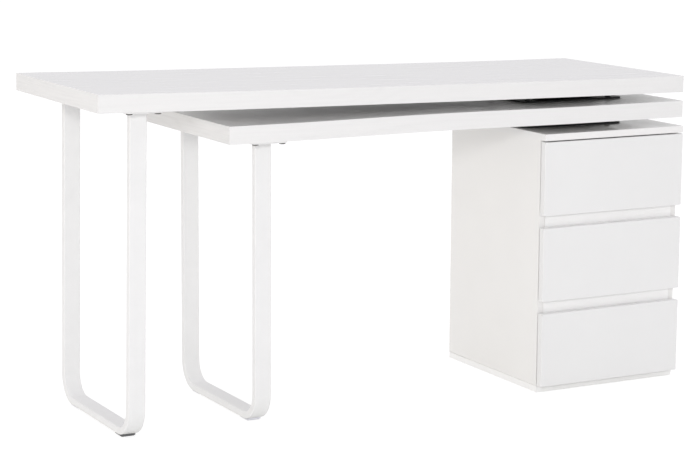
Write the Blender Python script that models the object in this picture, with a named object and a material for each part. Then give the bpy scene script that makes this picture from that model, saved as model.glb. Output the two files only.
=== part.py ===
"""Writing desk with two stacked swivel tops over a three-drawer cabinet.

Frame: metres.  The origin is the point where the vertical swivel axis meets
the floor, in the cabinet's footprint.  +X runs along the tops towards the
cabinet end, -Y is the drawer side, +Z is up.

Every physical piece is one closed solid.  Pieces that touch in the real desk
are kept GAP apart.
"""
import math

import bmesh
import bpy
from mathutils import Matrix, Vector

GAP = 0.0003            # air left between neighbouring pieces

# ------------------------------------------------------------------ cabinet
CAB_HALF_W = 0.200      # cabinet is 400 wide, centred on the swivel axis
CAB_FRONT = -0.200      # front edge of the carcass
CAB_BACK = 0.208        # rear edge of the carcass
CAB_TOP = 0.628
PANEL = 0.016           # carcass board
BACK_PANEL = 0.006
FRONT_THICK = 0.018     # overlay drawer front
FRONT_SHADOW = 0.002    # gap between a closed front and the carcass edge
FRONT_FACE = CAB_FRONT - FRONT_SHADOW - FRONT_THICK
FRONT_BOTTOMS = (0.0175, 0.2250, 0.4325)
FRONT_HEIGHT = 0.1775
RAIL_OVERLAP = 0.006    # a rail reaches this far behind the fronts it divides
RAIL_THICK = 0.018

# ------------------------------------------------------------------ drawers
SLIDE_SPACE = 0.0127    # side clearance taken by a ball-bearing slide
BOX_HALF_W = CAB_HALF_W - PANEL - SLIDE_SPACE
BOX_THICK = 0.012
BOX_BOTTOM = 0.004
BOX_DEPTH_END = 0.150   # rear face of a drawer box
BOX_RISE = 0.015        # box starts this far above the front's lower edge
BOX_HEIGHT = 0.130
SLIDE_LIFT = 0.040      # slide centre above the box's lower edge
SHEET = 0.0012          # slide sheet steel

# --------------------------------------------------------------------- tops
BOARD = 0.040
BOARD_FRONT = -0.215
BOARD_BACK = 0.300
BOARD_RIGHT = 0.200
LOWER_LEFT = -1.016
UPPER_LEFT = -1.320
LOWER_UNDERSIDE = 0.649
UPPER_UNDERSIDE = 0.710     # at its right-hand end
UPPER_SLOPE = 0.0147        # radians; the upper top climbs towards its leg
EDGE_EASE = 0.0008

# --------------------------------------------------------------------- legs
BAR_W = 0.040           # along X
BAR_T = 0.017           # thickness of the bar in the plane of the loop
BAR_WALL = 0.0015
BEND_R = 0.065          # outside radius of the floor bends
BAR_EASE = 0.0018
PAD_T = 0.0037
PLATE_T = 0.003
PLATE_HALF_X = 0.043
PLATE_HALF_Y = 0.047
INNER_LEG_X = -0.9345   # left face of the bar
OUTER_LEG_X = -1.2305
LEG_FRONT = -0.172
INNER_LEG_REAR = 0.240
OUTER_LEG_REAR = 0.243

# ------------------------------------------------------------------ swivels
SWIVEL_HALF = 0.100     # square turning plates, 200 x 200
BASE_PLATE_X = (-0.185, 0.100)      # base plates reach further over the desk side
BASE_PLATE_Y = (-0.105, 0.100)
RING_R = 0.077
RING_BORE = 0.060


for stale in list(bpy.data.objects):
    bpy.data.objects.remove(stale, do_unlink=True)


def slope_matrix():
    """Tilt of the upper top about its lower right-hand edge."""
    hinge = Vector((BOARD_RIGHT, 0.0, UPPER_UNDERSIDE))
    return (Matrix.Translation(hinge) @ Matrix.Rotation(UPPER_SLOPE, 4, "Y")
            @ Matrix.Translation(-hinge))


def underside_at(x):
    """Height of the upper top's underside at x."""
    return UPPER_UNDERSIDE + (BOARD_RIGHT - x) * math.tan(UPPER_SLOPE)


def publish(name, bm, matrix=None):
    if matrix is not None:
        bmesh.ops.transform(bm, matrix=matrix, verts=bm.verts)
    bmesh.ops.recalc_face_normals(bm, faces=bm.faces)
    mesh = bpy.data.meshes.new(name)
    bm.to_mesh(mesh)
    bm.free()
    piece = bpy.data.objects.new(name, mesh)
    bpy.context.scene.collection.objects.link(piece)
    return piece


def box(name, x, y, z, ease=0.0, matrix=None):
    """A board or plate between pairs of limits, its edges eased if asked."""
    bm = bmesh.new()
    corners = [bm.verts.new((px, py, pz)) for pz in z for py in y for px in x]
    for loop in ((0, 2, 3, 1), (4, 5, 7, 6), (0, 1, 5, 4),
                 (2, 6, 7, 3), (0, 4, 6, 2), (1, 3, 7, 5)):
        bm.faces.new([corners[i] for i in loop])
    if ease:
        bmesh.ops.bevel(bm, geom=list(bm.edges), offset=ease, segments=1,
                        profile=0.5, affect="EDGES")
    return publish(name, bm, matrix)


def extrude_y(name, profile, y0, y1):
    """A profile of (x, z) points drawn out along Y."""
    bm = bmesh.new()
    near = [bm.verts.new((px, y0, pz)) for px, pz in profile]
    far = [bm.verts.new((px, y1, pz)) for px, pz in profile]
    count = len(profile)
    bm.faces.new(near)
    bm.faces.new(far[::-1])
    for i in range(count):
        j = (i + 1) % count
        bm.faces.new((near[i], far[i], far[j], near[j]))
    return publish(name, bm)


def ring(name, radius, bore, z0, z1, steps=40):
    """The ball race between two swivel plates."""
    bm = bmesh.new()
    rows = []
    for r, z in ((radius, z0), (radius, z1), (bore, z1), (bore, z0)):
        rows.append([bm.verts.new((r * math.cos(2 * math.pi * k / steps),
                                   r * math.sin(2 * math.pi * k / steps), z))
                     for k in range(steps)])
    for a in range(4):
        b = (a + 1) % 4
        for k in range(steps):
            n = (k + 1) % steps
            bm.faces.new((rows[a][k], rows[a][n], rows[b][n], rows[b][k]))
    return publish(name, bm)


def leg_loop(name, x_left, y_front, y_rear, z0, top, matrix=None):
    """U-shaped leg: one flat tube bent under itself, open at both upper ends.

    z0 is the underside of the floor bar and top the cut at the plates."""
    stations = []       # (y, z) on the outer skin, unit vector into the loop
    stations.append(((y_front, None), (1.0, 0.0)))
    arc = 12
    for k in range(arc + 1):
        a = math.pi / 2 * k / arc
        stations.append(((y_front + BEND_R - BEND_R * math.cos(a),
                          z0 + BEND_R - BEND_R * math.sin(a)),
                         (math.cos(a), math.sin(a))))
    for k in range(arc + 1):
        a = math.pi / 2 * k / arc
        stations.append(((y_rear - BEND_R + BEND_R * math.sin(a),
                          z0 + BEND_R - BEND_R * math.cos(a)),
                         (-math.sin(a), math.cos(a))))
    stations.append(((y_rear, None), (-1.0, 0.0)))

    e, w = BAR_EASE, BAR_WALL
    outer = [(e, 0), (BAR_W - e, 0), (BAR_W, e), (BAR_W, BAR_T - e),
             (BAR_W - e, BAR_T), (e, BAR_T), (0, BAR_T - e), (0, e)]
    inner = [(w, w), (BAR_W - w, w), (BAR_W - w, BAR_T - w), (w, BAR_T - w)]

    bm = bmesh.new()

    def row(section, place, inward):
        made = []
        for across, depth in section:
            x = x_left + across
            y = place[0] + inward[0] * depth
            z = top if place[1] is None else place[1] + inward[1] * depth
            made.append(bm.verts.new((x, y, z)))
        return made

    skins = [row(outer, *s) for s in stations]
    cores = [row(inner, *s) for s in stations]
    for rows in (skins, cores):
        count = len(rows[0])
        for a, b in zip(rows, rows[1:]):
            for i in range(count):
                j = (i + 1) % count
                bm.faces.new((a[i], a[j], b[j], b[i]))
    for o, c in ((skins[0], cores[0]), (skins[-1], cores[-1])):
        bm.faces.new((o[0], o[1], c[1], c[0]))
        bm.faces.new((o[1], o[2], c[1]))
        bm.faces.new((o[2], o[3], c[2], c[1]))
        bm.faces.new((o[3], o[4], c[2]))
        bm.faces.new((o[4], o[5], c[3], c[2]))
        bm.faces.new((o[5], o[6], c[3]))
        bm.faces.new((o[6], o[7], c[0], c[3]))
        bm.faces.new((o[7], o[0], c[0]))
    return publish(name, bm, matrix)


# ------------------------------------------------------------------ cabinet
INSIDE = CAB_HALF_W - PANEL
box("cabinet_base_panel", (-CAB_HALF_W, CAB_HALF_W), (CAB_FRONT, CAB_BACK),
    (0.0, PANEL), EDGE_EASE)
for side, lo, hi in (("left", -CAB_HALF_W, -INSIDE), ("right", INSIDE, CAB_HALF_W)):
    box("cabinet_%s_side" % side, (lo, hi), (CAB_FRONT, CAB_BACK),
        (PANEL + GAP, CAB_TOP - PANEL - GAP))
box("cabinet_top_panel", (-CAB_HALF_W, CAB_HALF_W), (FRONT_FACE, CAB_BACK),
    (CAB_TOP - PANEL, CAB_TOP), EDGE_EASE)
box("cabinet_back_panel", (-INSIDE + GAP, INSIDE - GAP),
    (CAB_BACK - 0.004 - BACK_PANEL, CAB_BACK - 0.004),
    (PANEL + GAP, CAB_TOP - PANEL - GAP))
for label, below, above in (("lower", 0, 1), ("upper", 1, 2)):
    box("cabinet_%s_front_rail" % label, (-INSIDE + GAP, INSIDE - GAP),
        (CAB_FRONT, CAB_FRONT + RAIL_THICK),
        (FRONT_BOTTOMS[below] + FRONT_HEIGHT - RAIL_OVERLAP,
         FRONT_BOTTOMS[above] + RAIL_OVERLAP))

# ------------------------------------------------- drawers and their slides


def channel(web_x, lip_x, z_mid, half_h):
    """C-shaped sheet section: web at web_x, lips reaching to lip_x."""
    s = SHEET if lip_x > web_x else -SHEET
    return [(web_x, z_mid - half_h), (lip_x, z_mid - half_h),
            (lip_x, z_mid - half_h + SHEET), (web_x + s, z_mid - half_h + SHEET),
            (web_x + s, z_mid + half_h - SHEET), (lip_x, z_mid + half_h - SHEET),
            (lip_x, z_mid + half_h), (web_x, z_mid + half_h)]


for label, z0 in zip(("bottom", "middle", "top"), FRONT_BOTTOMS):
    box("%s_drawer_front" % label, (-CAB_HALF_W, CAB_HALF_W),
        (FRONT_FACE, FRONT_FACE + FRONT_THICK), (z0, z0 + FRONT_HEIGHT), EDGE_EASE)
    box_z0 = z0 + BOX_RISE
    y_box = FRONT_FACE + FRONT_THICK + GAP
    for side, sign in (("left", -1), ("right", 1)):
        outer_x, inner_x = sign * BOX_HALF_W, sign * (BOX_HALF_W - BOX_THICK)
        box("%s_drawer_%s_wall" % (label, side), sorted((outer_x, inner_x)),
            (y_box, BOX_DEPTH_END), (box_z0, box_z0 + BOX_HEIGHT))
        mid = box_z0 + SLIDE_LIFT
        wall = sign * (INSIDE - GAP)
        extrude_y("%s_drawer_%s_cabinet_channel" % (label, side),
                  channel(wall, wall - sign * 0.0092, mid, 0.0175), -0.198, 0.152)
        shift = wall - sign * 0.0030
        extrude_y("%s_drawer_%s_middle_channel" % (label, side),
                  channel(shift, shift - sign * 0.0062, mid, 0.0140), -0.197, 0.151)
        skin = sign * (BOX_HALF_W + GAP)
        extrude_y("%s_drawer_%s_drawer_channel" % (label, side),
                  channel(skin, skin + sign * 0.0062, mid, 0.0110), -0.196, 0.149)
    inside = BOX_HALF_W - BOX_THICK - GAP
    box("%s_drawer_back_wall" % label, (-inside, inside),
        (BOX_DEPTH_END - BOX_THICK, BOX_DEPTH_END), (box_z0 + 0.012, box_z0 + BOX_HEIGHT - 0.010))
    box("%s_drawer_bottom" % label, (-inside, inside),
        (y_box, BOX_DEPTH_END - 0.001), (box_z0 + 0.0077, box_z0 + 0.0077 + BOX_BOTTOM))

# ------------------------------------------------------- lower swivel, tops
box("lower_swivel_base_plate", BASE_PLATE_X, BASE_PLATE_Y,
    (CAB_TOP + GAP, CAB_TOP + GAP + PLATE_T))
ring("lower_swivel_ring", RING_R, RING_BORE,
     CAB_TOP + 2 * GAP + PLATE_T, LOWER_UNDERSIDE - PLATE_T - 2 * GAP)
box("lower_swivel_turning_plate", (-SWIVEL_HALF, SWIVEL_HALF), (-SWIVEL_HALF, SWIVEL_HALF),
    (LOWER_UNDERSIDE - PLATE_T - GAP, LOWER_UNDERSIDE - GAP))
box("lower_top_board", (LOWER_LEFT, BOARD_RIGHT), (BOARD_FRONT, BOARD_BACK),
    (LOWER_UNDERSIDE, LOWER_UNDERSIDE + BOARD), EDGE_EASE)

# ------------------------------------------------------ upper swivel, board
lower_face = LOWER_UNDERSIDE + BOARD
box("upper_swivel_base_plate", BASE_PLATE_X, BASE_PLATE_Y,
    (lower_face + GAP, lower_face + GAP + PLATE_T))
ring("upper_swivel_ring", RING_R, RING_BORE,
     lower_face + 2 * GAP + PLATE_T, underside_at(SWIVEL_HALF) - PLATE_T - 3 * GAP)
tilt = slope_matrix()
box("upper_swivel_turning_plate", (-SWIVEL_HALF, SWIVEL_HALF), (-SWIVEL_HALF, SWIVEL_HALF),
    (UPPER_UNDERSIDE - PLATE_T - GAP, UPPER_UNDERSIDE - GAP), matrix=tilt)
box("upper_top_board", (UPPER_LEFT, BOARD_RIGHT), (BOARD_FRONT, BOARD_BACK),
    (UPPER_UNDERSIDE, UPPER_UNDERSIDE + BOARD), EDGE_EASE, matrix=tilt)


# --------------------------------------------------------------------- legs
def leg(prefix, x_left, y_rear, underside, z_bar, pad_shift, matrix):
    """A loop, its two mounting plates and its two level floor pads.

    The loop is square to its board, so the outer one leans with the slope."""
    leg_loop(prefix + "_leg_loop", x_left, LEG_FRONT, y_rear, z_bar,
             underside - PLATE_T - 2 * GAP, matrix)
    mid_x = x_left + BAR_W / 2
    for end, mid_y in (("front", LEG_FRONT + BAR_T / 2), ("rear", y_rear - BAR_T / 2)):
        box("%s_leg_%s_plate" % (prefix, end),
            (mid_x - PLATE_HALF_X, mid_x + PLATE_HALF_X),
            (mid_y - PLATE_HALF_Y, mid_y + PLATE_HALF_Y),
            (underside - PLATE_T - GAP, underside - GAP), matrix=matrix)
    pad_x = mid_x + pad_shift
    for end, limits in (("front", (LEG_FRONT + 0.030, LEG_FRONT + 0.062)),
                        ("rear", (y_rear - 0.077, y_rear - 0.045))):
        box("%s_leg_%s_pad" % (prefix, end), (pad_x - 0.016, pad_x + 0.016),
            limits, (0.0, PAD_T))


floor_bar = PAD_T + GAP
leg("inner", INNER_LEG_X, INNER_LEG_REAR, LOWER_UNDERSIDE, floor_bar, 0.0, None)

# The sloping loop's lowest line is its right-hand face; it clears the pads.
reach = BOARD_RIGHT - (OUTER_LEG_X + BAR_W)
sloped_bar = UPPER_UNDERSIDE + ((floor_bar - UPPER_UNDERSIDE
                                 - reach * math.sin(UPPER_SLOPE))
                                / math.cos(UPPER_SLOPE))
lean = (sloped_bar - UPPER_UNDERSIDE) * math.sin(UPPER_SLOPE)
leg("outer", OUTER_LEG_X, OUTER_LEG_REAR, UPPER_UNDERSIDE, sloped_bar, lean, tilt)
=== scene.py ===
"""Looks for the writing desk with two swivel tops over a drawer cabinet."""
import math

import bmesh
import bpy
from mathutils import Matrix, Vector

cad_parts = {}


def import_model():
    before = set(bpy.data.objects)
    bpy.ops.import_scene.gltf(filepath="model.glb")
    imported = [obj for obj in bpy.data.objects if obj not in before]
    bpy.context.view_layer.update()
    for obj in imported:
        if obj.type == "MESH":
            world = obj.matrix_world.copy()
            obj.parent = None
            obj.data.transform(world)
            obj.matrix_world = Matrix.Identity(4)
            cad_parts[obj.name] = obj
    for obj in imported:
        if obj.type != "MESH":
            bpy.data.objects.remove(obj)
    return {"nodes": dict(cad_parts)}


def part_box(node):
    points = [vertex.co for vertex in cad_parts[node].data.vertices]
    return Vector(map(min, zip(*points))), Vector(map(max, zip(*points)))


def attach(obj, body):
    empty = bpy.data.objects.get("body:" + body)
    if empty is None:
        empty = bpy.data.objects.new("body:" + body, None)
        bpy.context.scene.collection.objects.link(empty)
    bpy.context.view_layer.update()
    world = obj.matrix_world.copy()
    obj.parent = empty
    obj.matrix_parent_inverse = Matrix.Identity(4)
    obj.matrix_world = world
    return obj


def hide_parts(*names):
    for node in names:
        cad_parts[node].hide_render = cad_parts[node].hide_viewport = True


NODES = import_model()["nodes"]
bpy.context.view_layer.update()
DRAWERS = ("bottom", "middle", "top")

# Sizes shared with the CAD solids, in metres.
BOARD_LENGTH = 1.520            # the upper top's
BOARD_THICK = 0.040
UPPER_UNDERSIDE = 0.710         # at its right-hand end
PLATE_GAP = 0.0003              # air above a plate under a board
PLATE_THICK = 0.003
BAR_W, BAR_T = 0.040, 0.017     # the legs' flat bar
BEND_R = 0.065                  # outside radius of the legs' floor bends
OUTER_LEG_LEFT = -1.2305

# The upper top climbs towards its leg, about its lower right-hand edge.
SLOPE = 0.0147
lower_board_low, lower_board_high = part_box("lower_top_board")
HINGE = Vector((lower_board_high.x, 0.0, UPPER_UNDERSIDE))
TILT = (Matrix.Translation(HINGE) @ Matrix.Rotation(SLOPE, 4, "Y")
        @ Matrix.Translation(-HINGE))
LEVEL = Matrix.Identity(4)
SHARP = math.radians(50)        # edges turning by more than this stay crisp


# ---------------------------------------------------------------- materials
class Graph:
    """A material's node tree around one Principled shader."""

    def __init__(self, name, **shader):
        self.mat = bpy.data.materials.new(name)
        self.mat.use_nodes = True
        self.tree = self.mat.node_tree
        self.tree.nodes.clear()
        self.out = self.tree.nodes.new("ShaderNodeOutputMaterial")
        self.bsdf = self.tree.nodes.new("ShaderNodeBsdfPrincipled")
        self.tree.links.new(self.bsdf.outputs[0], self.out.inputs[0])
        for key, value in shader.items():
            self.bsdf.inputs[key.replace("_", " ")].default_value = value
        self.coord = self.tree.nodes.new("ShaderNodeTexCoord")

    def put(self, socket, value):
        if isinstance(value, bpy.types.NodeSocket):
            self.tree.links.new(value, socket)
        elif value is not None:
            socket.default_value = value

    def node(self, kind, inputs=(), out=0, **props):
        made = self.tree.nodes.new("ShaderNode" + kind)
        for key, value in props.items():
            setattr(made, key, value)
        for key, value in dict(inputs).items():
            self.put(made.inputs[key], value)
        return made.outputs[out]

    def math(self, op, a, b=None, clamp=False):
        made = self.tree.nodes.new("ShaderNodeMath")
        made.operation, made.use_clamp = op, clamp
        for socket, value in zip(made.inputs, (a, b)):
            self.put(socket, value)
        return made.outputs[0]

    def vector(self, op, a, b):
        made = self.tree.nodes.new("ShaderNodeVectorMath")
        made.operation = op
        self.put(made.inputs[0], a)
        self.put(made.inputs[1], b)
        return made.outputs[0]

    def mix(self, factor, a, b):
        made = self.tree.nodes.new("ShaderNodeMix")
        made.data_type = "RGBA"
        self.put(made.inputs[0], factor)
        self.put(made.inputs[6], a)
        self.put(made.inputs[7], b)
        return made.outputs[2]

    def noise(self, vector, scale, detail=3.0, rough=0.55, distortion=0.0):
        return self.node("TexNoise", {"Vector": vector, "Scale": scale,
                                      "Detail": detail, "Roughness": rough,
                                      "Distortion": distortion})

    def ramp(self, value, low, high, to_low=0.0, to_high=1.0):
        return self.node("MapRange", {"Value": value, "From Min": low,
                                      "From Max": high, "To Min": to_low,
                                      "To Max": to_high})

    def bump(self, height, distance, strength):
        made = self.tree.nodes.new("ShaderNodeBump")
        made.inputs["Strength"].default_value = strength
        made.inputs["Distance"].default_value = distance
        self.put(made.inputs["Height"], height)
        return made.outputs[0]

    def set(self, **values):
        for key, value in values.items():
            self.put(self.bsdf.inputs[key.replace("_", " ")], value)
        return self.mat


def darker(tone, factor):
    """The colour with its three channels multiplied by factor."""
    return tuple(c * factor for c in tone[:3]) + (1,)


def oak_laminate(name, offset, tone, sheen=(0.20, 0.36)):
    """White open-grain laminate: wandering growth lines and embossed pores
    running along the board, and along Y on its end faces.  The roughness
    runs through sheen, from the plain surface to the darkest grain."""
    growth_rate = 330.0             # radians of growth line per metre across
    grain_depth = 0.00010
    g = Graph(name, Specular_IOR_Level=0.45)
    at = g.vector("ADD", g.coord.outputs["Object"], offset)
    separate = g.node("SeparateXYZ", {0: at}).node
    normal = g.node("SeparateXYZ", {0: g.coord.outputs["Normal"]}).node
    is_end = g.math("GREATER_THAN", g.math("ABSOLUTE", normal.outputs[0]), 0.7)
    x, y, z = separate.outputs
    along = g.node("Mix", {0: is_end, 2: x, 3: y})
    across = g.node("Mix", {0: is_end, 2: g.math("ADD", y, z),
                            3: g.math("MULTIPLY", z, 1.7)})
    place = g.node("CombineXYZ", {0: along, 1: across, 2: z})
    # slow drift that bends the growth lines, and now and then an eye
    bend = g.noise(g.vector("MULTIPLY", place, (1.1, 5.0, 1.0)), 1.0, 2.0, 0.5)
    eyes = g.node("TexVoronoi", {"Vector": g.vector("MULTIPLY", place, (2.1, 6.5, 1.0)),
                                 "Scale": 1.0, "Randomness": 1.0}, feature="F1")
    pull = g.math("MULTIPLY", g.ramp(eyes, 0.0, 0.42, 1.0, 0.0), 0.045)
    line = g.math("ADD", across, g.math("ADD", g.math("MULTIPLY", bend, 0.16), pull))
    rings = g.math("SINE", g.math("MULTIPLY", line, growth_rate))
    rings = g.ramp(rings, -1.0, 1.0)
    patches = g.noise(g.vector("MULTIPLY", place, (2.4, 11.0, 1.0)), 1.0, 3.0)
    fade = g.ramp(patches, 0.38, 0.66)
    growth = g.math("MULTIPLY", g.math("POWER", rings, 2.4), fade)
    # streaks and pores
    streak = g.noise(g.vector("MULTIPLY", place, (5.0, 190.0, 1.0)), 1.0, 5.0, 0.62, 0.25)
    pore = g.noise(g.vector("MULTIPLY", place, (46.0, 1150.0, 1.0)), 1.0, 3.0, 0.6)
    pores = g.ramp(pore, 0.56, 0.74)
    dark = g.math("ADD", g.math("MULTIPLY", growth, 0.34),
                  g.math("ADD", g.math("MULTIPLY", g.ramp(streak, 0.42, 0.74), 0.42),
                         g.math("MULTIPLY", pores, 0.26)), clamp=True)
    # the long edge bands show less of it than the faces
    on_band = g.math("GREATER_THAN", g.math("ABSOLUTE", normal.outputs[1]), 0.7)
    dark = g.math("MULTIPLY", dark, g.ramp(on_band, 0.0, 1.0, 1.0, 0.35))
    base = g.mix(dark, tone, darker(tone, 0.82))
    drift = g.noise(g.vector("MULTIPLY", place, (3.0, 8.0, 3.0)), 1.0, 4.0)
    cloud = g.ramp(drift, 0.3, 0.7)
    base = g.mix(g.math("MULTIPLY", cloud, 0.35), base, darker(tone, 0.97))
    height = g.math("ADD", g.math("MULTIPLY", dark, -1.0),
                    g.math("MULTIPLY", g.noise(place, 900.0, 2.0), 0.10))
    return g.set(Base_Color=base, Roughness=g.ramp(dark, 0.0, 1.0, *sheen),
                 Normal=g.bump(height, grain_depth, 0.75))


def lacquer(name, tone, rough=(0.30, 0.40), ripple=0.00002):
    """Painted or foil-faced board: faint mottling and orange peel."""
    g = Graph(name, Specular_IOR_Level=0.5)
    at = g.coord.outputs["Object"]
    cloud = g.ramp(g.noise(at, 7.0, 4.0, 0.6), 0.3, 0.7)
    fine = g.noise(at, 620.0, 2.0, 0.5)
    base = g.mix(cloud, tone, darker(tone, 0.985))
    specks = g.math("MULTIPLY", g.ramp(fine, 0.62, 0.8), 0.15)
    base = g.mix(specks, base, darker(tone, 0.95))
    smear = g.noise(g.vector("MULTIPLY", at, (3.0, 3.0, 9.0)), 2.0, 5.0, 0.65)
    peel = g.math("ADD", fine, g.math("MULTIPLY", g.noise(at, 95.0, 2.0), 1.4))
    return g.set(Base_Color=base, Roughness=g.ramp(smear, 0.3, 0.7, *rough),
                 Normal=g.bump(peel, ripple, 0.6))


def coated_metal(name, tone, metal, rough, coat, ripple, wear=None):
    """Powder coat or plating, rubbed a little brighter on its edges."""
    g = Graph(name, Metallic=metal, Specular_IOR_Level=0.5, Coat_Weight=coat,
              Coat_Roughness=0.18)
    at = g.coord.outputs["Object"]
    cloud = g.ramp(g.noise(at, 16.0, 5.0, 0.62), 0.3, 0.72)
    base = g.mix(cloud, tone, darker(tone, 0.965))
    if wear is not None:
        edge = g.node("NewGeometry", out=7)          # pointiness
        rub = g.math("MULTIPLY", g.ramp(edge, 0.53, 0.62),
                     g.ramp(g.noise(at, 140.0, 4.0), 0.42, 0.62))
        base = g.mix(rub, base, wear)
    grit = g.noise(at, 1500.0, 2.0, 0.55)
    peel = g.math("ADD", g.math("MULTIPLY", grit, 0.4), g.noise(at, 260.0, 2.0))
    marks = g.noise(at, 14.0, 4.0, 0.6)
    return g.set(Base_Color=base, Roughness=g.ramp(marks, 0.3, 0.7, *rough),
                 Normal=g.bump(peel, ripple, 0.6))


WHITE_TOP = (0.838, 0.832, 0.826, 1)
MAT = {
    # name, then an offset into the grain
    "upper_oak": oak_laminate("upper_oak_laminate", (0.0, 0.0, 0.0), WHITE_TOP),
    "lower_oak": oak_laminate("lower_oak_laminate", (3.7, 1.3, 0.0), WHITE_TOP,
                              (0.16, 0.30)),
    # name, colour, roughness from and to, ripple depth
    "front": lacquer("front_lacquer", (0.832, 0.830, 0.826, 1)),
    "cabinet": lacquer("cabinet_melamine", (0.872, 0.862, 0.848, 1),
                       (0.17, 0.26), 0.00002),
    # painted light: the rails and base panel get a lighter copy of the carcass melamine,
    # standing in for the bounce light their recesses lack
    "recess_painted_light": lacquer("melamine_painted_lighter", (0.955, 0.95, 0.945, 1),
                        (0.36, 0.48), 0.00003),
    "cabinet_top": lacquer("cabinet_top_melamine", (0.865, 0.856, 0.848, 1),
                           (0.04, 0.08), 0.000007),
    "drawer": lacquer("drawer_melamine", (0.83, 0.82, 0.80, 1),
                      (0.45, 0.6), 0.00004),
    # name, colour, metal, roughness from and to, coat, ripple depth, worn edges
    "leg": coated_metal("leg_powder_coat", (0.852, 0.850, 0.848, 1), 0.0,
                        (0.34, 0.40), 0.12, 0.000006),
    "black": coated_metal("black_enamelled_steel", (0.018, 0.018, 0.019, 1), 0.3,
                          (0.34, 0.52), 0.15, 0.00003, (0.12, 0.12, 0.12, 1)),
    "zinc": coated_metal("zinc_plated_steel", (0.60, 0.61, 0.62, 1), 1.0,
                         (0.28, 0.42), 0.0, 0.00001, (0.75, 0.75, 0.76, 1)),
    # painted shade: the bright screw heads are given a dark metal colour, standing in for
    # the dark reflections they show in the shaded gap; the race's balls share it
    "screw": coated_metal("screw_metal_painted_dark", (0.19, 0.185, 0.18, 1), 1.0,
                          (0.16, 0.26), 0.0, 0.000005),
    "pad": coated_metal("pad_plastic", (0.80, 0.80, 0.86, 1), 0.0,
                        (0.5, 0.65), 0.0, 0.00003),
    # painted shade: a dark glide, used only under the outer leg's front bend, standing in
    # for the shadow line there
    "pad_painted_shade": coated_metal("pad_painted_shadow", (0.13, 0.13, 0.135, 1), 0.0,
                             (0.6, 0.75), 0.0, 0.00005),
}


# --------------------------------------------------------------- mesh tools
def add(name, bm, body, mat, replaces=(), matrix=LEVEL):
    """Turns bm into a piece that rides on body, in material mat."""
    bmesh.ops.transform(bm, matrix=matrix, verts=bm.verts)
    bmesh.ops.recalc_face_normals(bm, faces=bm.faces)
    for edge in bm.edges:
        if len(edge.link_faces) == 2 and edge.calc_face_angle() > SHARP:
            edge.smooth = False
    mesh = bpy.data.meshes.new(name)
    bm.to_mesh(mesh)
    bm.free()
    mesh.polygons.foreach_set("use_smooth", [True] * len(mesh.polygons))
    piece = bpy.data.objects.new(name, mesh)
    bpy.context.scene.collection.objects.link(piece)
    mesh.materials.append(MAT[mat])
    mod = piece.modifiers.new("face weighted normals", "WEIGHTED_NORMAL")
    mod.weight, mod.keep_sharp = 100, True
    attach(piece, body)
    if replaces:
        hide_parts(*replaces)


def skin(bm, rows, closed=False):
    """Joins rows of as many vertices each, and the last to the first if closed."""
    count = len(rows[0])
    for a, b in zip(rows, rows[1:] + (rows[:1] if closed else [])):
        for i in range(count):
            j = (i + 1) % count
            bm.faces.new((a[i], a[j], b[j], b[i]))


def ease_rim(bm, width):
    """Rounds the level edges between two faces."""
    rim = [e for e in bm.edges if abs(e.verts[0].co.z - e.verts[1].co.z) < 1e-6]
    bmesh.ops.bevel(bm, geom=rim, offset=width, segments=2, profile=0.5,
                    affect="EDGES")


def rounded_box(bm, low, high, radius):
    """A box with all its edges rounded."""
    corners = [bm.verts.new((px, py, pz)) for pz in (low[2], high[2])
               for py in (low[1], high[1]) for px in (low[0], high[0])]
    for loop in ((0, 2, 3, 1), (4, 5, 7, 6), (0, 1, 5, 4),
                 (2, 6, 7, 3), (0, 4, 6, 2), (1, 3, 7, 5)):
        bm.faces.new([corners[i] for i in loop])
    if radius:
        bmesh.ops.bevel(bm, geom=bm.edges[:], offset=radius, segments=3,
                        profile=0.5, affect="EDGES", clamp_overlap=True)


def band_seam(bm, inset, gap, depth):
    """A hairline round every large flat face, where the edge band meets it."""
    large = 0.05                                # square metres
    bm.faces.ensure_lookup_table()
    for face in [f for f in bm.faces if f.calc_area() > large]:
        bmesh.ops.inset_region(bm, faces=[face], thickness=inset, depth=0.0)
        bmesh.ops.inset_region(bm, faces=[face], thickness=gap, depth=-depth)
        bmesh.ops.inset_region(bm, faces=[face], thickness=gap, depth=depth)


def lathe(bm, profile, centre=(0, 0, 0), steps=32):
    """Turns (radius, height) points about Z: a loop, unless its ends lie on Z."""
    rows = []
    for radius, height in profile:
        count = steps if radius else 1          # one vertex on the axis
        rows.append([bm.verts.new((
            centre[0] + radius * math.cos(math.tau * k / steps),
            centre[1] + radius * math.sin(math.tau * k / steps),
            centre[2] + height)) for k in range(count)])
    closed = profile[0][0] > 0 and profile[-1][0] > 0
    pairs = list(zip(rows, rows[1:])) + ([(rows[-1], rows[0])] if closed else [])
    for a, b in pairs:
        for k in range(steps):
            n = (k + 1) % steps
            quad = [a[k % len(a)], a[n % len(a)], b[n % len(b)], b[k % len(b)]]
            unique = list(dict.fromkeys(quad))
            if len(unique) > 2:
                bm.faces.new(unique)


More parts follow.
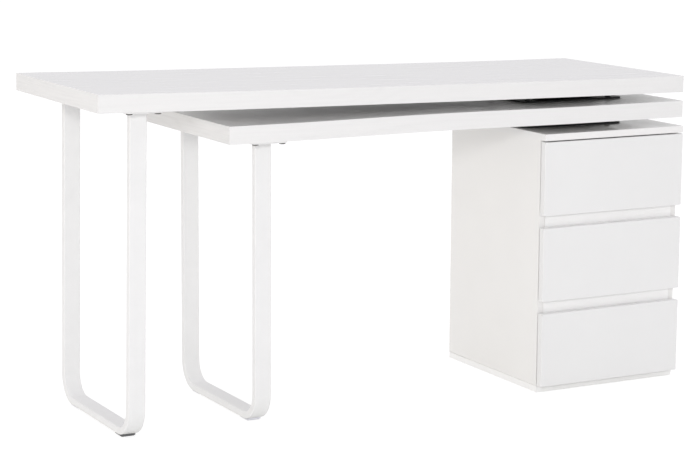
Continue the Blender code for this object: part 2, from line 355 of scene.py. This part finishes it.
def pan_screw(bm, centre, radius, height, turn):
    """A pan-head screw with a cross recess, its head pointing down."""
    rings, steps = 9, 32
    half_slot, slot_reach = radius * 0.17, radius * 0.58
    rows = []
    for i in range(rings + 1):
        r = radius * math.sin(math.pi / 2 * i / rings) ** 0.8
        dome = height * (1 - 0.42 * (r / radius) ** 2)
        row = []
        for k in range(1 if i == 0 else steps):
            a = math.tau * k / steps
            px, py = r * math.cos(a), r * math.sin(a)
            qx = px * math.cos(turn) + py * math.sin(turn)
            qy = -px * math.sin(turn) + py * math.cos(turn)
            near, far = sorted((abs(qx), abs(qy)))
            in_cross = near < half_slot and far < slot_reach
            h = dome - (height * 0.62 if in_cross else 0.0)
            row.append(bm.verts.new((centre[0] + px, centre[1] + py, centre[2] - h)))
        rows.append(row)
    rows.append([bm.verts.new((v.co.x, v.co.y, centre[2])) for v in rows[-1]])
    for a, b in zip(rows, rows[1:]):
        for k in range(steps):
            n = (k + 1) % steps
            quad = [a[k % len(a)], a[n % len(a)], b[n % len(b)], b[k % len(b)]]
            bm.faces.new(list(dict.fromkeys(quad)))
    bm.faces.new(rows[-1])


# ------------------------------------------------------------------- boards
def bend_between(bm, start, end, rise, curve):
    """Bows the mesh in Z between two places on X, and leaves it level outside.
    curve maps -1 to 1 along the stretch to a share of rise."""
    steps = 28
    for i in range(steps + 1):
        x = start + (end - start) * i / steps
        geom = bm.verts[:] + bm.edges[:] + bm.faces[:]
        bmesh.ops.bisect_plane(bm, geom=geom, plane_co=(x, 0, 0), plane_no=(1, 0, 0))
    for v in bm.verts:
        u = (2 * v.co.x - start - end) / (end - start)
        if abs(u) < 1:
            v.co.z += rise * curve(u)


def board(name, node, body, mat, matrix, start, end, rise, curve):
    """A top with eased edges and edge bands, very slightly bowed."""
    low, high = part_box(node)
    if matrix is TILT:              # its own box before it was tilted
        low = Vector((HINGE.x - BOARD_LENGTH, low.y, UPPER_UNDERSIDE))
        high = Vector((HINGE.x, high.y, UPPER_UNDERSIDE + BOARD_THICK))
    bm = bmesh.new()
    rounded_box(bm, low, high, 0.0004)
    band_seam(bm, 0.0011, 0.00015, 0.0001)
    bend_between(bm, start, end, rise, curve)
    add(name, bm, body, mat, (node,), matrix)


board("lower_board_with_edge_band", "lower_top_board", "lower_top", "lower_oak", LEVEL,
      -0.868, -0.102, 0.0023, lambda u: (1 - u * u) ** 2)
board("upper_board_with_edge_band", "upper_top_board", "upper_top", "upper_oak", TILT,
      -1.250, 0.150, -0.0022, lambda u: 1 - u ** 4)


# --------------------------------------------------------------------- legs
def bar_loop(name, body, low, high, matrix, node):
    """The bent flat tube, finer than its CAD solid: rounded long edges."""
    r = 0.0024                                  # radius of the long edges
    section = []
    for cx, cy, a0 in ((BAR_W - r, r, -90), (BAR_W - r, BAR_T - r, 0),
                       (r, BAR_T - r, 90), (r, r, 180)):
        for k in range(5):
            a = math.radians(a0 + 22.5 * k)
            section.append((cx + r * math.cos(a), cy + r * math.sin(a)))
    # (y, z) on the outer skin, and the direction into the loop there
    shoulder = low.z + BEND_R + 0.30
    stations = [((low.y, high.z), (1.0, 0.0)), ((low.y, shoulder), (1.0, 0.0))]
    steps = 24
    for k in range(steps + 1):
        a = math.pi / 2 * k / steps
        stations.append(((low.y + BEND_R * (1 - math.cos(a)),
                          low.z + BEND_R * (1 - math.sin(a))),
                         (math.cos(a), math.sin(a))))
    for k in range(steps + 1):
        a = math.pi / 2 * k / steps
        stations.append(((high.y - BEND_R * (1 - math.sin(a)),
                          low.z + BEND_R * (1 - math.cos(a))),
                         (-math.sin(a), math.cos(a))))
    stations += [((high.y, shoulder), (-1.0, 0.0)), ((high.y, high.z), (-1.0, 0.0))]
    bm = bmesh.new()
    rows = [[bm.verts.new((low.x + across, y + iy * depth, z + iz * depth))
             for across, depth in section] for (y, z), (iy, iz) in stations]
    skin(bm, rows)
    bm.faces.new(rows[0])
    bm.faces.new(rows[-1])
    add(name, bm, body, "leg", (node,), matrix)


def weld_bead(bm, centre, z):
    """A wavy fillet round the bar's four sides, under the plate at z."""
    steps, sink = 96, 0.0004                    # sink: into bar and plate
    bx, by = BAR_W / 2, BAR_T / 2
    rows = []
    for k in range(steps):
        s = k / steps * 2 * (2 * bx + 2 * by)
        if s < 2 * bx:
            p, n = (-bx + s, -by), (0, -1)
        elif s < 2 * bx + 2 * by:
            p, n = (bx, -by + s - 2 * bx), (1, 0)
        elif s < 4 * bx + 2 * by:
            p, n = (bx - (s - 2 * bx - 2 * by), by), (0, 1)
        else:
            p, n = (-bx, by - (s - 4 * bx - 2 * by)), (-1, 0)
        w = 0.0022 + 0.0004 * math.sin(k * 2.3)
        base = Vector((centre[0] + p[0], centre[1] + p[1], z))
        out = Vector((n[0], n[1], 0))
        rows.append([bm.verts.new(base - out * sink + Vector((0, 0, sink))),
                     bm.verts.new(base + out * w + Vector((0, 0, 0.0002))),
                     bm.verts.new(base + out * w * 0.5 - Vector((0, 0, w * 0.45))),
                     bm.verts.new(base - out * sink - Vector((0, 0, w)))])
    skin(bm, rows, closed=True)


def mounting_plate(name, body, centre, z, matrix, node, turn):
    """Plate with rounded corners, a weld bead round the bar and four screws."""
    bm = bmesh.new()
    hx, hy, r = 0.043, 0.047, 0.010             # half sizes, corner radius
    screw_x, screw_y, screw_r, screw_h = 0.033, 0.037, 0.0072, 0.0044
    ring = []
    for sx, sy, a0 in ((1, -1, -90), (1, 1, 0), (-1, 1, 90), (-1, -1, 180)):
        for k in range(7):
            a = math.radians(a0 + 15 * k)
            ring.append((centre[0] + sx * (hx - r) + r * math.cos(a),
                         centre[1] + sy * (hy - r) + r * math.sin(a)))
    low = [bm.verts.new((px, py, z[0])) for px, py in ring]
    high = [bm.verts.new((px, py, z[1])) for px, py in ring]
    bm.faces.new(low)
    bm.faces.new(high[::-1])
    skin(bm, [low, high])
    ease_rim(bm, 0.0005)
    weld_bead(bm, centre, z[0])
    add(name, bm, body, "leg", (node,), matrix)
    bm = bmesh.new()
    for i, (sx, sy) in enumerate(((-1, -1), (1, -1), (1, 1), (-1, 1))):
        pan_screw(bm, (centre[0] + sx * screw_x, centre[1] + sy * screw_y, z[0]),
                  screw_r, screw_h, turn + i * 0.7)
    add(name + "_screws", bm, body, "screw", (), matrix)


def floor_pad(name, body, node, bend_y, inward, mat):
    """A moulded glide that fills the wedge between the floor and the bend."""
    low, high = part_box(node)
    rest = 0.0040                               # height of the bar's lowest face
    reach, length, steps = 0.020, 0.043, 14     # reach: before the bend's end
    thinnest, edge = 0.0012, 0.0015
    x0, x1 = low.x + 0.0005, high.x - 0.0005
    bm = bmesh.new()
    rows = []
    for k in range(steps + 1):
        y = bend_y - inward * reach + inward * length * k / steps
        run = max(0.0, inward * (bend_y - y))
        top = rest - 0.0001 + BEND_R - math.sqrt(BEND_R ** 2 - run ** 2)
        b = 0.0 if k > 1 else (0.0012, 0.0004)[k]       # turned up at its end
        b += max(0.0, run - 0.012) * 0.30
        t = max(top, b + thinnest)
        c = min(edge, (t - b) * 0.3)
        ring = [(x0, b + c), (x0 + edge, b), (x1 - edge, b), (x1, b + c),
                (x1, t - c), (x1 - edge, t), (x0 + edge, t), (x0, t - c)]
        rows.append([bm.verts.new((px, y, pz)) for px, pz in ring])
    skin(bm, rows)
    bm.faces.new(rows[0])
    bm.faces.new(rows[-1])
    add(name, bm, body, mat, (node,))


def leg(prefix, body, matrix, underside, low, high, front_pad):
    """A bent bar with a plate and a glide at its front and at its rear."""
    bar_loop(prefix + "_bent_bar", body, low, high, matrix, prefix + "_leg_loop")
    mid_x = low.x + BAR_W / 2
    z = (underside - PLATE_GAP - PLATE_THICK, underside - PLATE_GAP)
    # end, the bar's middle, where its bend ends, which way is inward, glide, turn
    ends = (("front", low.y + BAR_T / 2, low.y + BEND_R, 1, front_pad, 0.4),
            ("rear", high.y - BAR_T / 2, high.y - BEND_R, -1, "pad", 1.4))
    for end, mid_y, bend_y, inward, pad, turn in ends:
        mounting_plate("%s_%s_welded_plate" % (prefix, end), body, (mid_x, mid_y),
                       z, matrix, "%s_leg_%s_plate" % (prefix, end), turn)
        floor_pad("%s_%s_glide" % (prefix, end), body,
                  "%s_leg_%s_pad" % (prefix, end), bend_y, inward, pad)


loop_low, loop_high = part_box("inner_leg_loop")
leg("inner", "lower_top", LEVEL, lower_board_low.z, loop_low, loop_high, "pad")

# The outer loop tilts with its top, so its lowest face is found before the tilt.
outer_low, outer_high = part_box("outer_leg_loop")
outer_right = OUTER_LEG_LEFT + BAR_W
drop = (HINGE.x - outer_right) * math.sin(SLOPE)
outer_bottom = UPPER_UNDERSIDE + ((outer_low.z - UPPER_UNDERSIDE - drop)
                                  / math.cos(SLOPE))
leg("outer", "upper_top", TILT, UPPER_UNDERSIDE,
    Vector((OUTER_LEG_LEFT, outer_low.y, outer_bottom)),
    Vector((outer_right, outer_high.y, UPPER_UNDERSIDE - PLATE_THICK - 2 * PLATE_GAP)),
    # its front glide dark: painted shade for the shadow under that bend
    "pad_painted_shade")


# ------------------------------------------------------------------ swivels
def swivel_plate(name, body, x, y, z, node, matrix=LEVEL, r=0.014, steps=6):
    """A pressed plate between its limits, its corners rounded by r."""
    bm = bmesh.new()
    outline = []
    for ix, iy, a0 in ((1, 0, -90), (1, 1, 0), (0, 1, 90), (0, 0, 180)):
        for k in range(steps + 1):
            a = math.radians(a0 + 90 * k / steps)
            outline.append((x[ix] + (r if ix == 0 else -r) + r * math.cos(a),
                            y[iy] + (r if iy == 0 else -r) + r * math.sin(a)))
    bottom = [bm.verts.new((px, py, z[0])) for px, py in outline]
    top = [bm.verts.new((px, py, z[1])) for px, py in outline]
    bm.faces.new(bottom)
    bm.faces.new(top[::-1])
    skin(bm, [bottom, top])
    ease_rim(bm, 0.0004)
    add(name, bm, body, "black", (node,), matrix)


def race(name, body, node):
    """Two pressed rings with the balls showing between them."""
    low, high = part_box(node)
    outer, bore, flat, lip = high.x, 0.060, 0.0012, 0.0008
    balls, ball_r, track_r = 34, 0.0024, 0.0738
    mid = (low.z + high.z) / 2
    bm = bmesh.new()
    for z0, z1 in ((low.z, mid - flat), (mid + flat, high.z)):
        lathe(bm, [(bore, z0), (bore + 0.001, z0), (outer - 0.001, z0),
                   (outer, z0 + flat), (outer, z1 - lip), (outer - lip, z1),
                   (bore + lip, z1), (bore, z1 - lip)], steps=96)
    add(name, bm, body, "black", (node,))
    bm = bmesh.new()
    for k in range(balls):
        a = math.tau * k / balls
        place = Matrix.Translation((track_r * math.cos(a), track_r * math.sin(a), mid))
        bmesh.ops.create_uvsphere(bm, u_segments=12, v_segments=8, radius=ball_r,
                                  matrix=place)
    add(name + "_balls", bm, body, "screw")


def base_plate_bolts(name, body, z):
    """Washer-faced bolt heads standing on a swivel's base plate."""
    radius, height = 0.0065, 0.0068
    bm = bmesh.new()
    for x, y in ((-0.165, -0.086), (0.068, -0.086), (-0.165, 0.080), (0.080, 0.080)):
        lathe(bm, [(0, 0), (radius + 0.0015, 0), (radius + 0.0015, 0.0008),
                   (radius, 0.0009), (radius, height - 0.0008),
                   (radius - 0.0008, height), (0, height)], (x, y, z), steps=24)
    add(name, bm, body, "black")


def plate_from_box(name, body, node):
    """A pressed plate that fills its CAD node's box; returns its upper face's z."""
    low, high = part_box(node)
    swivel_plate(name, body, (low.x, high.x), (low.y, high.y), (low.z, high.z), node)
    return high.z


TURNING_DISC_R, DISC_CORNER = 0.084, 0.078      # an almost round plate
for level, base_body, turn_body in (("lower", "cabinet", "lower_top"),
                                    ("upper", "lower_top", "upper_top")):
    plate_top = plate_from_box(level + "_pressed_base_plate", base_body,
                               level + "_swivel_base_plate")
    if level == "lower":
        plate_from_box("lower_pressed_turning_plate", turn_body,
                       "lower_swivel_turning_plate")
    else:
        across = (-TURNING_DISC_R, TURNING_DISC_R)
        swivel_plate("upper_pressed_turning_plate", turn_body, across, across,
                     (UPPER_UNDERSIDE - PLATE_GAP - PLATE_THICK,
                      UPPER_UNDERSIDE - PLATE_GAP),
                     "upper_swivel_turning_plate", TILT, DISC_CORNER, steps=18)
    race(level + "_ball_race", turn_body, level + "_swivel_ring")
    base_plate_bolts(level + "_base_plate_bolts", base_body, plate_top)


# ------------------------------------------------------------------ cabinet
def drawer_front(label, lower_by):
    """A lacquered front with rounded edges, its upper edge lowered a little."""
    node = label + "_drawer_front"
    low, high = (v.copy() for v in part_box(node))
    high.z -= lower_by
    bm = bmesh.new()
    rounded_box(bm, low, high, 0.0012)
    add(label + "_lacquered_front", bm, label + "_drawer",
        "front", (node,))


def shell_panel(name, node, mat="cabinet", lift=0.0, set_back=0.0):
    """A carcass panel with eased edges, except where it joins its neighbour:
    along its top if it is lifted to close that joint, or else underneath."""
    low, high = (v.copy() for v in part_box(node))
    high.z += lift
    low.y += set_back
    bm = bmesh.new()
    rounded_box(bm, low, high, 0.0)
    keep = high.z if lift else low.z
    edges = [e for e in bm.edges
             if not all(abs(v.co.z - keep) < 1e-6 for v in e.verts)]
    bmesh.ops.bevel(bm, geom=edges, offset=0.0005, segments=2, profile=0.5,
                    affect="EDGES", clamp_overlap=True)
    add(name, bm, "cabinet", mat, (node,))


shell_panel("cabinet_top_with_edge_band", "cabinet_top_panel", "cabinet_top")
for side in ("left", "right"):
    shell_panel("cabinet_%s_foil_side" % side, "cabinet_%s_side" % side,
                lift=0.0003, set_back=0.0020)
for label in DRAWERS:
    drawer_front(label, 0.0012 if label == "top" else 0.0)


def ease(node, mat, width):
    """Gives a CAD node that stays its finish and softened edges."""
    piece = NODES[node]
    piece.data.materials.clear()
    piece.data.materials.append(MAT[mat])
    weld = piece.modifiers.new("weld", "WELD")
    weld.merge_threshold = 0.00001
    bevel = piece.modifiers.new("eased edges", "BEVEL")
    bevel.width, bevel.segments, bevel.limit_method = width, 2, "ANGLE"
    bevel.angle_limit = math.radians(40)
    piece.modifiers.new("face weighted normals", "WEIGHTED_NORMAL").weight = 100


for node in NODES:
    if NODES[node].hide_render:
        continue
    if "channel" in node:
        ease(node, "zinc", 0.0003)
    elif "drawer_" in node:
        ease(node, "drawer", 0.0005)
    elif "rail" in node or "base_panel" in node:
        # painted light: the recessed rails and base panel take the lighter copy of the
        # melamine
        ease(node, "recess_painted_light", 0.0005)
    elif node.startswith("cabinet"):
        ease(node, "cabinet", 0.0005)
    else:
        print("left as CAD:", node)


# -------------------------------------------------------------------- stage
def studio_floor():
    """A wide pale floor.  It shows white, with only a trace of shadow,
    whatever light it returns to the desk."""
    bm = bmesh.new()
    bmesh.ops.create_grid(bm, x_segments=1, y_segments=1, size=60.0)
    mesh = bpy.data.meshes.new("floor")
    bm.to_mesh(mesh)
    bm.free()
    floor = bpy.data.objects.new("floor", mesh)
    bpy.context.scene.collection.objects.link(floor)
    g = Graph("floor_white", Roughness=0.9, Specular_IOR_Level=0.0,
              Base_Color=(0.80, 0.80, 0.80, 1), Emission_Color=(0.986, 1, 0.91, 1),
              Emission_Strength=0.158)
    seen = g.tree.nodes.new("ShaderNodeBsdfPrincipled")
    for socket, value in (("Base Color", (0.30, 0.30, 0.30, 1)), ("Roughness", 0.9),
                          ("Specular IOR Level", 0.0),
                          ("Emission Color", (1, 1, 1, 1)),
                          ("Emission Strength", 0.82)):
        seen.inputs[socket].default_value = value
    path = g.tree.nodes.new("ShaderNodeLightPath")
    blend = g.tree.nodes.new("ShaderNodeMixShader")
    g.tree.links.new(path.outputs["Is Camera Ray"], blend.inputs[0])
    g.tree.links.new(g.bsdf.outputs[0], blend.inputs[1])
    g.tree.links.new(seen.outputs[0], blend.inputs[2])
    g.tree.links.new(blend.outputs[0], g.out.inputs[0])
    mesh.materials.append(g.mat)
    return floor


floor = studio_floor()

# An even surround, white at the horizon and a little cool overhead.
world = bpy.data.worlds.new("studio")
bpy.context.scene.world = world
world.use_nodes = True
sky = world.node_tree
background = sky.nodes["Background"]
background.inputs["Strength"].default_value = 0.76
coord = sky.nodes.new("ShaderNodeTexCoord")
split = sky.nodes.new("ShaderNodeSeparateXYZ")
shade = sky.nodes.new("ShaderNodeMix")
shade.data_type = "RGBA"
shade.inputs[6].default_value = (1.0, 1.0, 1.0, 1)
shade.inputs[7].default_value = (0.975, 0.96, 1.0, 1)
sky.links.new(coord.outputs["Generated"], split.inputs[0])
sky.links.new(split.outputs[2], shade.inputs[0])
sky.links.new(shade.outputs[2], background.inputs[0])

WHITE, WARM, COOL = (1.0, 1.0, 1.0), (1.0, 0.86, 0.66), (0.95, 0.94, 1.0)
LIGHTS = (
    # name, place, target, size, watts, colour
    ("key", (-4.1, -5.2, 2.2), (-0.5, 0.0, 0.6), (0.9, 0.7), 100.0, WHITE),
    ("left_low", (-5.8, 0.2, 1.0), (-0.5, 0.0, 0.6), (2.2, 0.9), 16.0, WARM),
    ("right_low", (5.2, 0.6, 1.3), (0.0, 0.0, 0.6), (1.8, 1.2), 62.0, WHITE),
    ("overhead", (-0.6, 0.4, 4.0), (-0.6, 0.0, 0.0), (4.0, 3.0), 25.0, COOL),
)
for name, place, target, size, watts, colour in LIGHTS:
    data = bpy.data.lights.new(name, "AREA")
    data.shape, data.size, data.size_y = "RECTANGLE", size[0], size[1]
    data.energy, data.color = watts, colour
    lamp = bpy.data.objects.new(name, data)
    bpy.context.scene.collection.objects.link(lamp)
    lamp.location = place
    aim = Vector(target) - Vector(place)
    lamp.rotation_euler = aim.to_track_quat("-Z", "Y").to_euler()

# ------------------------------------------------------------------- camera
SENSOR_MM = 36.0
IMAGE_WIDTH, FOCAL_LENGTH = 700, 2089.6         # in pixels of a full-size render
CAMERA_PLACE = (-2.9077, -4.3005, 1.2499)
YAW, PITCH, ROLL = 0.4918, 0.154, 0.0066
camera_data = bpy.data.cameras.new("camera")
camera = bpy.data.objects.new("camera", camera_data)
bpy.context.scene.collection.objects.link(camera)
bpy.context.scene.camera = camera
camera_data.sensor_width = SENSOR_MM
camera_data.lens = FOCAL_LENGTH / IMAGE_WIDTH * SENSOR_MM
camera_data.shift_y = -0.0621
camera_data.clip_end = 200
camera.matrix_world = (Matrix.Translation(CAMERA_PLACE)
                       @ Matrix.Rotation(-YAW, 4, "Z")
                       @ Matrix.Rotation(math.pi / 2 - PITCH, 4, "X")
                       @ Matrix.Rotation(ROLL, 4, "Z"))

scene = bpy.context.scene
scene.view_settings.view_transform = "Standard"
scene.view_settings.look = "None"
